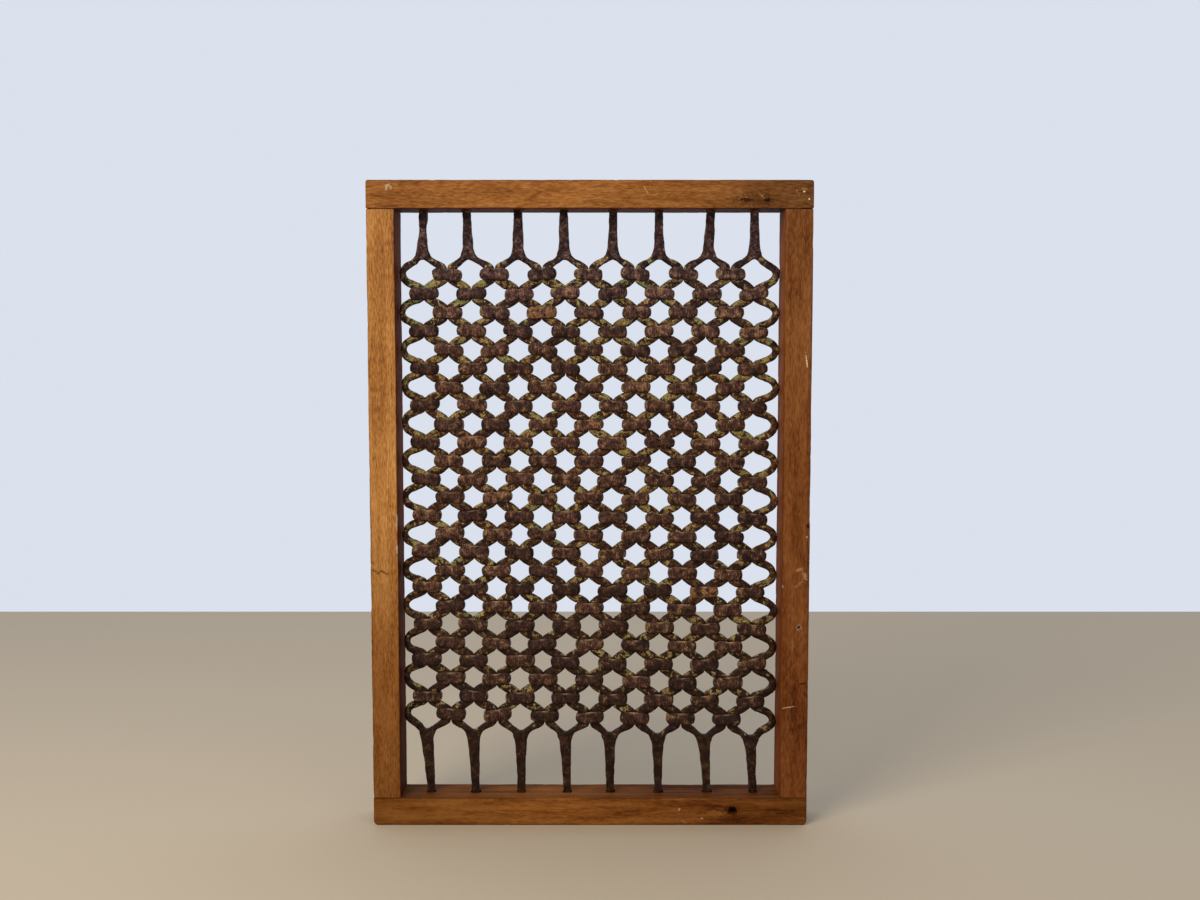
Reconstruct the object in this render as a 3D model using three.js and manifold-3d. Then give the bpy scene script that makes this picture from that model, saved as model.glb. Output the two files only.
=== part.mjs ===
// Jali window: a small hardwood frame around a grille of forged iron bars.
// Each bar is two wavy legs, joined at its ends in a tang that sits in a hole in a rail.
// Iron straps clamp the legs in rows: one row between neighbouring bars, the next on the bars.
// Millimetres, +Z up, front towards -Y, origin at the middle of the underside.

import * as THREE from 'three';
import { mergeVertices } from 'three/addons/utils/BufferGeometryUtils.js';
import Module from 'manifold-3d';

const wasm = await Module();
wasm.setup();

// Timber frame
const windowWidth = 550;
const windowHeight = 810;
const frameDepth = 56;
const memberWidth = 35.3; // seen from the front
const topCornerRadius = 3;
const bottomCornerRadius = 6;
const jointGap = 0.3; // between a rail and a stile's end

// Grille: where its bars and rows stand in the opening
const sideMargin = 33.2; // stile to the axis of the nearest bar
const barPitchAim = 59; // the real pitch divides the opening evenly
const rowPitchAim = 23.2;
const topMargin = 79.4; // top rail to the first row of straps
const bottomMargin = 103; // bottom rail to the last row
const grilleShift = -1.2; // the grille sits a touch left of the middle
const rowSag = 9; // the hand-set rows hang low by this much at the bottom right corner

// Legs
const legWaist = 9.2; // width of a leg at the middle of a strap
const legDepth = 10;
const legGap = 0.3; // between the legs of neighbouring bars
const tipRise = 8.6; // from a row's middle to the tip of the V between two legs
const loopThickness = 7.6; // of an outer leg where it comes near a stile
const stileClearance = 3;
// A loop's turns above its row: shares of its reach and of the row pitch
const loopOutside = [{ out: 0.89, rise: 0.45 }, { out: 1, rise: 0.18 }];
const loopInside = [{ out: 0.78, rise: 0.31 }, { out: 1, rise: 0.11 }];

// Forks, from an outer row of straps
const topCrotchRise = 19.2; // where the legs part
const bottomCrotchRise = 21.5;
const forkRise = 29.5; // where the tang's sides begin
const forkWidth = 14.2;
const forkShoulder = { out: 9.3, rise: 23.5 };
const forkElbow = { out: 19, rise: 17.3 };
const forkHeel = { out: 17.5, rise: 6.5 }; // the underside of the leg, inside its first strap

// Tangs
const topTangWidth = 9.6; // at the rail
const bottomTangWidth = 8.8;
const tangInRail = 20;
const holeClearance = 0.5;

// Straps
const strapHeight = 13;
const strapThickness = 3;
const strapCheek = 9.5; // iron of a strap beyond the waist of each of its two legs
const slotClearance = 0.3;
const slotOverrun = 1; // of the tool that cuts a slot, past the strap

const cornerSegments = 4; // of a rail's rounded corner

// The hand-set bars lean a little: how far each tang stands off its bar's axis at the rail
const topLean = [-1.2, -5.2, 0.5, -1.2, 1, -1.8, 2.8, 0];
const bottomLean = [1.8, 0.8, -0.2, 0, -2.3, -0.7, 3.2, 1.1];
const forkLeanShare = 0.6;

const openingWidth = windowWidth - 2 * memberWidth;
const stileLength = windowHeight - 2 * memberWidth - 2 * jointGap;
const firstBarX = -openingWidth / 2 + sideMargin;
const barCount = 1 + Math.round((openingWidth - 2 * sideMargin) / barPitchAim);
const barPitch = (openingWidth - 2 * sideMargin) / (barCount - 1);
const grilleHeight = windowHeight - 2 * memberWidth - topMargin - bottomMargin;
const rowCount = 1 + 2 * Math.round(grilleHeight / (2 * rowPitchAim));
const rowPitch = grilleHeight / (rowCount - 1);
const topRowZ = windowHeight - memberWidth - topMargin;
const bottomRowZ = memberWidth + bottomMargin;

const strapWidth = 2 * (legWaist + strapCheek);
const cavityDepth = legDepth + 2 * slotClearance; // inside a strap
const strapDepth = cavityDepth + 2 * strapThickness;
const meetOut = (barPitch - legGap) / 2; // axis to the side of a leg that faces the next bar
const legRun = (meetOut - legWaist) / (rowPitch - tipRise); // sideways for each unit of height
const loopOut = sideMargin - stileClearance; // axis to the outside of an outer leg's loop

const barX = (bar) => firstBarX + bar * barPitch + grilleShift;
const rowZ = (row) => topRowZ - row * rowPitch; // before the rows sag
const isBetweenBars = (row) => row % 2 === 0;
const carriesStraps = (bar) => bar % 2 === 0; // the bars between are threaded through its straps
const barDepth = (bar) => (carriesStraps(bar) ? cavityDepth : legDepth);
const leanOf = (leans, bar) => leans[bar % leans.length];

const timber = new THREE.MeshStandardMaterial({ color: 0x8c5a2c, roughness: 0.5, metalness: 0 });
const iron = new THREE.MeshStandardMaterial({ color: 0x4a3428, roughness: 0.75, metalness: 0.5 });

// A closed geometry as a solid for cutting and joining
function toSolid(geometry) {
  const bare = geometry.clone();
  bare.deleteAttribute('normal');
  bare.deleteAttribute('uv');
  const merged = mergeVertices(bare, 1e-4);
  return new wasm.Manifold(new wasm.Mesh({
    numProp: 3,
    vertProperties: merged.attributes.position.array,
    triVerts: new Uint32Array(merged.index.array),
  }));
}

function toGeometry(solid) {
  const { vertProperties, triVerts } = solid.getMesh();
  const geometry = new THREE.BufferGeometry();
  geometry.setAttribute('position', new THREE.BufferAttribute(vertProperties, 3));
  geometry.setIndex(new THREE.BufferAttribute(triVerts, 1));
  geometry.computeVertexNormals();
  return geometry;
}

// A front-view outline (x, z) given its depth along Y, centred on the grille's plane
function extrudeFront(shape, depth) {
  const options = { depth, bevelEnabled: false, curveSegments: cornerSegments };
  const geometry = new THREE.ExtrudeGeometry(shape, options);
  return geometry.rotateX(Math.PI / 2).translate(0, depth / 2, 0);
}

function block(width, depth, height, x, z) {
  return new THREE.BoxGeometry(width, depth, height).translate(x, 0, z);
}

// The two ends of a bar: up is 1 at the top and -1 at the bottom
const barEnds = [
  {
    up: 1,
    endRowZ: topRowZ,
    railZ: windowHeight - memberWidth,
    crotchRise: topCrotchRise,
    leans: topLean,
    tangWidth: topTangWidth,
  },
  {
    up: -1,
    endRowZ: bottomRowZ,
    railZ: memberWidth,
    crotchRise: bottomCrotchRise,
    leans: bottomLean,
    tangWidth: bottomTangWidth,
  },
];

// A point of the grille, given where it would be if the rows didn't sag
function hung(x, z) {
  const across = (x - barX(0)) / (barX(barCount - 1) - barX(0));
  const down = Math.min(Math.max((topRowZ - z) / (topRowZ - bottomRowZ), 0), 1);
  return new THREE.Vector2(x, z - rowSag * across * down);
}

// A loop's edge past one row, from above it to below it
function loopEdge(reach, turns, z) {
  const above = turns.map(({ out, rise }) => [reach * out, z + rise * rowPitch]);
  const below = above.map(([out, height]) => [out, 2 * z - height]).toReversed();
  return [...above, ...below];
}

function isLoop(bar, side) {
  return bar === (side < 0 ? 0 : barCount - 1);
}

// One side of a bar from its fork at the top to its fork at the bottom, as [out from the axis, z]
function outerEdge(bar, side) {
  const rows = Array.from({ length: rowCount }, (_, row) => {
    const z = rowZ(row);
    if (!isBetweenBars(row)) return [[legWaist, z]];
    if (isLoop(bar, side)) return loopEdge(loopOut, loopOutside, z);
    return [[meetOut, z + tipRise], [meetOut, z - tipRise]];
  });
  return rows.flat();
}

// The same side of the hole between the bar's legs at one row
function innerEdge(bar, side, row) {
  const z = rowZ(row);
  if (isLoop(bar, side)) return loopEdge(loopOut - loopThickness, loopInside, z);
  const edge = [[meetOut - legWaist, z]];
  if (row === 0) edge.unshift([forkHeel.out, z + forkHeel.rise]);
  if (row === rowCount - 1) edge.push([forkHeel.out, z - forkHeel.rise]);
  return edge;
}

// The front outline of a bar, with a hole between its legs at every other row
function barShape(bar) {
  const place = (side, out, z, lean = 0) => hung(barX(bar) + lean + side * out, z);
  const endPoints = ({ up, endRowZ, railZ, leans, tangWidth }, side) => {
    const lean = leanOf(leans, bar);
    const tangX = barX(bar) + lean + side * tangWidth / 2;
    return [
      new THREE.Vector2(tangX, railZ + up * tangInRail),
      new THREE.Vector2(tangX, railZ),
      place(side, forkWidth / 2, endRowZ + up * forkRise, forkLeanShare * lean),
      place(side, forkShoulder.out, endRowZ + up * forkShoulder.rise, forkLeanShare * lean),
      place(side, forkElbow.out, endRowZ + up * forkElbow.rise),
    ];
  };
  const sideLine = (side) => [
    ...endPoints(barEnds[0], side),
    ...outerEdge(bar, side).map(([out, z]) => place(side, out, z)),
    ...endPoints(barEnds[1], side).toReversed(),
  ];
  const shape = new THREE.Shape([...sideLine(-1), ...sideLine(1).toReversed()]);

  const tip = (row, up) => {
    const isEnd = row < 0 || row >= rowCount;
    const { endRowZ, crotchRise, leans } = barEnds[up > 0 ? 0 : 1];
    if (isEnd) return place(1, 0, endRowZ + up * crotchRise, forkLeanShare * leanOf(leans, bar));
    return place(1, 0, rowZ(row) - up * tipRise);
  };
  for (let row = 0; row < rowCount; row += 2) {
    const [left, right] = [-1, 1].map(
      (side) => innerEdge(bar, side, row).map(([out, z]) => place(side, out, z)),
    );
    const outline = [tip(row - 1, 1), ...left, tip(row + 1, -1), ...right.toReversed()];
    shape.holes.push(new THREE.Path(outline));
  }
  return shape;
}

function strap(x, row) {
  return toSolid(block(strapWidth, strapDepth, strapHeight, x, hung(x, rowZ(row)).y));
}

// The way through a strap for the next bar's leg, which comes in and goes out on a slant.
// side is 1 where that bar stands to the right
function strapSlot(x, row, side) {
  const reach = strapHeight / 2 + slotOverrun;
  const waist = legGap / 2 + legWaist + slotClearance;
  const mouth = waist + reach * legRun;
  const back = -legWaist / 2; // inside this bar's own leg
  const outline = [[back, -reach], [mouth, -reach], [waist, 0], [mouth, reach], [back, reach]];
  const points = outline.map(([out, rise]) => hung(x + side * out, rowZ(row) + rise));
  return toSolid(extrudeFront(new THREE.Shape(points), cavityDepth));
}

// A bar with the straps on its own axis and, if it carries them, those shared with its neighbours
function grilleBar(bar) {
  const pieces = [toSolid(extrudeFront(barShape(bar), barDepth(bar)))];
  const sides = [-1, 1].filter((side) => carriesStraps(bar) && !isLoop(bar, side));
  for (let row = 0; row < rowCount; row += 1) {
    if (!isBetweenBars(row)) {
      pieces.push(strap(barX(bar), row));
      continue;
    }
    for (const side of sides) {
      const middle = barX(bar) + side * barPitch / 2;
      pieces.push(strap(middle, row).subtract(strapSlot(middle, row, side)));
    }
  }
  return pieces.reduce((joined, piece) => joined.add(piece));
}

// A rail's front outline between two heights; only its outer corners are rounded
function railShape(bottomZ, topZ, bottomRadius, topRadius) {
  const half = windowWidth / 2;
  const shape = new THREE.Shape();
  shape.moveTo(-half + bottomRadius, bottomZ);
  shape.lineTo(half - bottomRadius, bottomZ);
  if (bottomRadius) shape.absarc(half - bottomRadius, bottomZ + bottomRadius, bottomRadius, -Math.PI / 2, 0);
  shape.lineTo(half, topZ - topRadius);
  if (topRadius) shape.absarc(half - topRadius, topZ - topRadius, topRadius, 0, Math.PI / 2);
  shape.lineTo(-half + topRadius, topZ);
  if (topRadius) shape.absarc(-half + topRadius, topZ - topRadius, topRadius, Math.PI / 2, Math.PI);
  shape.lineTo(-half, bottomZ + bottomRadius);
  if (bottomRadius) {
    shape.absarc(-half + bottomRadius, bottomZ + bottomRadius, bottomRadius, Math.PI, Math.PI * 1.5);
  }
  return shape;
}

// A rail with a blind hole for each bar's tang
function drilledRail(shape, openingZ, leans, tangWidth) {
  let rail = toSolid(extrudeFront(shape, frameDepth));
  const depth = tangInRail + holeClearance;
  for (let bar = 0; bar < barCount; bar += 1) {
    const x = barX(bar) + leanOf(leans, bar);
    const width = tangWidth + 2 * holeClearance;
    const hole = block(width, barDepth(bar) + 2 * holeClearance, 2 * depth, x, openingZ);
    rail = rail.subtract(toSolid(hole));
  }
  return rail;
}

function addMesh(group, name, geometry, material) {
  const mesh = new THREE.Mesh(geometry, material);
  mesh.name = name;
  group.add(mesh);
  return mesh;
}

const frame = new THREE.Group();
const topRailShape = railShape(windowHeight - memberWidth, windowHeight, 0, topCornerRadius);
const bottomRailShape = railShape(0, memberWidth, bottomCornerRadius, 0);
const topRail = drilledRail(topRailShape, windowHeight - memberWidth, topLean, topTangWidth);
const bottomRail = drilledRail(bottomRailShape, memberWidth, bottomLean, bottomTangWidth);
addMesh(frame, 'top_rail', toGeometry(topRail), timber);
addMesh(frame, 'bottom_rail', toGeometry(bottomRail), timber);
for (const [name, side] of [['left_stile', -1], ['right_stile', 1]]) {
  const stile = addMesh(frame, name, new THREE.BoxGeometry(memberWidth, frameDepth, stileLength), timber);
  stile.position.set(side * (windowWidth - memberWidth) / 2, 0, windowHeight / 2);
}

const grille = new THREE.Group();
for (let bar = 0; bar < barCount; bar += 1) {
  addMesh(grille, `grille_bar_${bar + 1}`, toGeometry(grilleBar(bar)), iron);
}

const jaliWindow = new THREE.Group();
jaliWindow.add(frame, grille);

export default jaliWindow;
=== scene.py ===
"""A jali window: a grille of forged iron bars and straps in a small hardwood frame.

Sizes are millimetres in the shared frame: +Z up, the front towards -Y and the origin at the middle of
the underside. Meshes are turned into metres when they are built.
"""

from __future__ import annotations

import logging
import math
from dataclasses import dataclass, field, replace
from enum import Enum
from typing import Any, Sequence

import bmesh
import bpy
import numpy as np
from mathutils import Euler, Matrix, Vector, noise


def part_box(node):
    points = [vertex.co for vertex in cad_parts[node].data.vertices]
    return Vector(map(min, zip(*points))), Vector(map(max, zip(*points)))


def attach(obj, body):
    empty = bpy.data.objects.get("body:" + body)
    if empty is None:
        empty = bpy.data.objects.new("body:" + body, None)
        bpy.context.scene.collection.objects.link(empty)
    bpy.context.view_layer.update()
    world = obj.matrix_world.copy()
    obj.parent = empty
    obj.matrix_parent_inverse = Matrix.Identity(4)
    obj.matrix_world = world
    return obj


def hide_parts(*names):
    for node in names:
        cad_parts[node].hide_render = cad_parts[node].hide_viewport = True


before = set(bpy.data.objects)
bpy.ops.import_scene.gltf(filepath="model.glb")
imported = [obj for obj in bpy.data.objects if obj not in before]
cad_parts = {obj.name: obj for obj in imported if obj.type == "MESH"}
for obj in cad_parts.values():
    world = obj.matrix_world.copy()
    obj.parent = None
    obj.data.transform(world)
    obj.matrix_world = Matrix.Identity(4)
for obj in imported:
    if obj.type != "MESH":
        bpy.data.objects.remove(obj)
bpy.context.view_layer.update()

log = logging.getLogger("jali_window")

MM = 0.001
BODY = "root"
SMOOTH_ANGLE = math.radians(38)

Faces = list[tuple[int, ...]]
Inputs = dict[Any, Any]
Marks = dict[str, np.ndarray]
Triple = tuple[float, float, float]
Layers = tuple[tuple[float, float], ...]
Stations = tuple[tuple[float, ...], ...]
Stops = tuple[tuple[float, str], ...]


class Side(Enum):
    """A side of a bar's axis, seen from the front."""

    LEFT = -1
    RIGHT = 1


class Grain(Enum):
    """The axis that the grain of a timber member runs along."""

    ACROSS = 0
    UPRIGHT = 2


# Making meshes.


def linked(name: str, data: bpy.types.ID) -> bpy.types.Object:
    """Makes an object and links it to the scene.

    Args:
        name: The object's name.
        data: What it shows: a mesh, a light or a camera.

    Returns:
        The new object.
    """
    made = bpy.data.objects.new(name, data)
    bpy.context.scene.collection.objects.link(made)
    return made


@dataclass
class Skin:
    """Points, faces and marks gathered for one mesh.

    Attributes:
        points: Blocks of points in millimetres, one row each.
        faces: Corner numbers of each face.
        marks: For each named mark, a block of values for each block of points.
    """

    points: list[np.ndarray] = field(default_factory=list)
    faces: Faces = field(default_factory=list)
    marks: dict[str, list[np.ndarray]] = field(default_factory=dict)

    def add(self, points: np.ndarray, faces: Faces, **marks: np.ndarray) -> None:
        """Adds a block of points with its faces.

        Args:
            points: The points, in millimetres.
            faces: Faces that count from this block's first point.
            **marks: A value for each point, from 0 to 1, for each named mark.
        """
        start = sum(len(block) for block in self.points)
        self.points.append(points)
        self.faces.extend(tuple(start + corner for corner in face) for face in faces)
        for name, values in marks.items():
            self.marks.setdefault(name, []).append(values)

    def build(self, name: str, weld: float = 0.0) -> bpy.types.Object:
        """Makes the object, in metres, with its faces outside out and its marks as point attributes.

        Args:
            name: The object's name.
            weld: Points closer than this, in millimetres, become one.

        Returns:
            The new object, linked to the scene.
        """
        points = np.concatenate(self.points)
        faces = self.faces
        marks = {mark: np.concatenate(blocks) for mark, blocks in self.marks.items()}
        if weld:
            points, faces, marks = welded(points, faces, marks, weld)
        mesh = bpy.data.meshes.new(name)
        mesh.from_pydata((points * MM).tolist(), [], faces)
        for mark, values in marks.items():
            attribute = mesh.attributes.new(mark, "FLOAT", "POINT")
            attribute.data.foreach_set("value", values.astype(np.float32))
        mesh.validate()
        work = bmesh.new()
        work.from_mesh(mesh)
        bmesh.ops.recalc_face_normals(work, faces=work.faces)
        work.to_mesh(mesh)
        work.free()
        return linked(name, mesh)


def welded(points: np.ndarray, faces: Faces, marks: Marks, gap: float) -> tuple[np.ndarray, Faces, Marks]:
    """Joins points that coincide and drops the pairs of faces left back to back inside.

    Args:
        points: The points, in millimetres.
        faces: The faces.
        marks: A value for each point, by mark.
        gap: How close two points count as one.

    Returns:
        The new points, faces and marks.
    """
    keys = np.round(points / gap).astype(np.int64)
    _, first, which = np.unique(keys, axis=0, return_index=True, return_inverse=True)
    which = which.reshape(-1)
    moved = [tuple(int(which[corner]) for corner in face) for face in faces]
    count: dict[tuple[int, ...], int] = {}
    for face in moved:
        key = tuple(sorted(face))
        count[key] = count.get(key, 0) + 1
    kept = [face for face in moved if len(set(face)) > 2 and count[tuple(sorted(face))] == 1]
    tidy = [tuple(dict.fromkeys(face)) for face in kept]
    return points[first], tidy, {mark: values[first] for mark, values in marks.items()}


def loop_faces(rings: int, per_ring: int, closed: bool = False) -> Faces:
    """Faces between rings of points that follow one another, with a face over each open end.

    Args:
        rings: How many rings there are.
        per_ring: How many points each ring has.
        closed: Whether the last ring joins the first.

    Returns:
        The faces.
    """
    faces: Faces = []
    for ring in range(rings if closed else rings - 1):
        here, there = ring * per_ring, (ring + 1) % rings * per_ring
        for i in range(per_ring):
            j = (i + 1) % per_ring
            faces.append((here + i, here + j, there + j, there + i))
    if not closed:
        faces.append(tuple(range(per_ring))[::-1])
        faces.append(tuple((rings - 1) * per_ring + i for i in range(per_ring)))
    return faces


def grain_noise(points: np.ndarray, size: float, seed: float) -> np.ndarray:
    """Smooth noise from about -1 to 1 at each point.

    Args:
        points: The points, in millimetres.
        size: The size of a lump, in millimetres.
        seed: Moves the pattern.

    Returns:
        One value for each point.
    """
    places = (points / size + seed).tolist()
    return np.array([noise.noise(place) for place in places])


def roughen(made: bpy.types.Object, layers: Layers, seed: float, inward: float = 0.0) -> None:
    """Moves a mesh's points along their normals by layers of noise.

    Args:
        made: The object.
        layers: The size of the lumps and their height, in millimetres, for each layer.
        seed: Moves the pattern.
        inward: How far all points move in as well, in millimetres.
    """
    mesh = made.data
    count = len(mesh.vertices)
    points, normals = np.empty(count * 3), np.empty(count * 3)
    mesh.vertices.foreach_get("co", points)
    mesh.vertex_normals.foreach_get("vector", normals)
    points, normals = points.reshape(-1, 3) / MM, normals.reshape(-1, 3)
    push = sum(height * grain_noise(points, size, seed + i) for i, (size, height) in enumerate(layers))
    moved = points + normals * (push - inward)[:, None]
    mesh.vertices.foreach_set("co", (moved * MM).ravel())
    mesh.update()


def shade(made: bpy.types.Object) -> None:
    """Shades a mesh smooth and keeps its real edges crisp."""
    made.data.shade_smooth()
    made.data.set_sharp_from_angle(angle=SMOOTH_ANGLE)


def curve_through(points: np.ndarray, steps: int) -> np.ndarray:
    """A smooth curve through rows of values.

    Args:
        points: The rows that the curve passes through.
        steps: How many rows to make from one given row to the next.

    Returns:
        The rows of the curve.
    """
    padded = np.vstack([2 * points[0] - points[1], points, 2 * points[-1] - points[-2]])
    a, b, c, d = padded[:-3], padded[1:-2], padded[2:-1], padded[3:]
    made = [
        b + 0.5 * ((c - a) * t + (2 * a - 5 * b + 4 * c - d) * t**2 + (3 * b - a - 3 * c + d) * t**3)
        for t in np.linspace(0, 1, steps, endpoint=False)
    ]
    rows = np.stack(made, axis=1).reshape(-1, points.shape[1])
    return np.vstack([rows, points[-1]])


def squircle(angles: np.ndarray, squareness: float) -> tuple[np.ndarray, np.ndarray]:
    """Points of a square with rounded corners that reaches 1 each way.

    Args:
        angles: Where the points are.
        squareness: 2 is a circle, and more is squarer.

    Returns:
        The points' two coordinates.
    """
    c, s = np.cos(angles), np.sin(angles)
    power = 2 / squareness
    return np.sign(c) * np.abs(c) ** power, np.sign(s) * np.abs(s) ** power


# The grille.


@dataclass(frozen=True)
class GrillePlan:
    """Where the bars and the rows of straps stand. Sizes in millimetres."""

    window_height: float = 810.0
    member_width: float = 35.3
    bar_count: int = 8
    row_count: int = 25
    first_bar_x: float = -207.7
    bar_pitch: float = 59.0
    top_row_z: float = 695.3
    row_pitch: float = 557 / 24
    row_sag: float = 9.0
    hand_error: float = 0.75
    top_row_rise: float = 1.2
    farthest: tuple[float, float] = (-1.6, 2.2)
    seed: int = 7

    def bar_x(self, bar: int) -> float:
        """The axis of a bar."""
        return self.first_bar_x + bar * self.bar_pitch

    def rail_z(self, up: int) -> float:
        """The face of a rail towards the opening: 1 is the top rail and -1 the bottom rail."""
        return self.window_height - self.member_width if up > 0 else self.member_width

    def row_z(self, row: int) -> float:
        """The middle of a row before the rows sag."""
        return self.top_row_z - row * self.row_pitch

    def hang(self, x: np.ndarray | float, z: np.ndarray | float) -> np.ndarray | float:
        """How low a place hangs: the rows sag towards the bottom right corner.

        Args:
            x: The place, across.
            z: The place, up.

        Returns:
            How far it lies under where it would be in level rows.
        """
        across = (x - self.first_bar_x) / ((self.bar_count - 1) * self.bar_pitch)
        down = np.clip((self.top_row_z - z) / ((self.row_count - 1) * self.row_pitch), 0, 1)
        return self.row_sag * across * down

    def crossings(self) -> np.ndarray:
        """The hand-made error of each crossing of two legs.

        Returns:
            How far each is off its place in x and z, by row and by half pitches from the left.
        """
        random = np.random.default_rng(self.seed)
        shifts = random.normal(0, self.hand_error, (self.row_count, 2 * self.bar_count + 1, 2))
        shifts[0, :, 1] += self.top_row_rise
        return np.clip(shifts, *self.farthest)


@dataclass(frozen=True)
class LegShape:
    """The outline of a leg between two straps, as pairs of edge points, and its section.

    Each station is (near out, near rise, far out, far rise): the edge towards the bar's axis and the
    edge away from it, with heights counted from the strap on the bar's own axis. Millimetres.

    Attributes:
        right_spread: How much further out the two edges of the loops at the right stile stand.
    """

    depth: float = 10.6
    squareness: float = 2.7
    right_spread: tuple[float, float] = (0.9, 2.7)
    stations: Stations = (
        (0.15, 0.0, 12.6, 0.0), (0.15, 4.4, 12.9, 1.9), (0.2, 8.3, 13.9, 4.2), (4.0, 11.8, 15.8, 6.4),
        (11.2, 16.3, 18.3, 6.9), (13.7, 16.8, 25.5, 11.4), (15.6, 19.0, 29.3, 14.9),
        (16.6, 21.3, 29.35, 18.8), (16.9, 23.2, 29.35, 23.2),
    )
    loop_stations: Stations = (
        (0.15, 0.0, 12.6, 0.0), (0.15, 4.4, 12.9, 1.9), (0.2, 8.0, 13.9, 4.2), (4.6, 11.2, 15.4, 5.6),
        (9.6, 13.1, 18.3, 6.9), (14.5, 15.1, 22.6, 9.5), (18.6, 17.0, 26.6, 12.6),
        (21.4, 19.6, 29.3, 17.2), (22.6, 23.2, 30.2, 23.2),
    )


@dataclass(frozen=True)
class ForkShape:
    """An end of a bar past its last strap: the legs meet and become the tang. Millimetres.

    Each station is (near out, near rise, far out, far rise) from the end row outwards; from the station
    numbered `joined` on, the two legs are one. A leg that comes from a loop starts further out.

    Attributes:
        up: 1 for the top end and -1 for the bottom end.
        crotch: How far past the end row the legs meet.
        tang_width: The tang's width at the rail.
        breadth: How many times broader the fork is than its stations say.
        crotches: How far each bar's legs meet off its axis.
        leans: How far off its axis each tang meets the rail.
        waists: How slim each tang is half way.
        in_rail: How far the tang goes into the rail.
        joined: The number of the station where the legs become one.
        ring_gap: From one ring of the tang to the next.
        taper: How soon the tang thins: 1 is evenly, and more is nearer the fork.
    """

    up: int
    crotch: float
    tang_width: float
    breadth: float
    crotches: tuple[float, ...]
    leans: tuple[float, ...]
    waists: tuple[float, ...] = (0.98,) * 8
    in_rail: float = 19.0
    joined: int = 7
    ring_gap: float = 7.0
    taper: float = 1.4
    stations: Stations = (
        (17.2, 4.0, 29.35, 7.6), (16.3, 7.4, 27.2, 12.0), (14.2, 9.6, 22.5, 15.4),
        (11.4, 11.9, 18.2, 17.6), (8.0, 14.4, 14.4, 19.4), (4.4, 16.9, 11.2, 21.6),
        (1.6, 18.5, 9.4, 24.0), (0.0, 19.2, 8.4, 26.4), (0.0, 22.5, 7.6, 28.8), (0.0, 27.5, 6.9, 31.5),
        (0.0, 34.0, 6.3, 35.5),
    )
    loop_start: Stations = (
        (22.1, 2.7, 30.0, 4.2), (19.2, 5.0, 27.4, 9.2), (14.8, 7.9, 22.3, 13.6),
        (11.2, 10.4, 17.4, 16.6), (7.6, 13.1, 13.6, 19.0),
    )


TOP_FORK = ForkShape(
    up=1,
    crotch=19.2,
    tang_width=10.4,
    breadth=1.04,
    crotches=(-1.5, -3.7, -0.2, -1.8, -0.2, -1.1, 1.7, 0.1),
    leans=(0.2, -5.0, 0.1, -2.1, 0.6, -1.5, 4.4, -0.1),
    waists=(0.74, 0.95, 1.03, 1.04, 0.95, 0.94, 1.04, 0.97),
)
BOTTOM_FORK = ForkShape(
    up=-1,
    crotch=21.5,
    tang_width=9.6,
    breadth=1.2,
    crotches=(-1.6, -0.8, 0.7, -1.2, -3.3, -0.9, -0.1, 0.3),
    leans=(3.6, 1.3, 1.0, 1.1, -2.8, 0.0, 3.7, 3.6),
)


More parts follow.
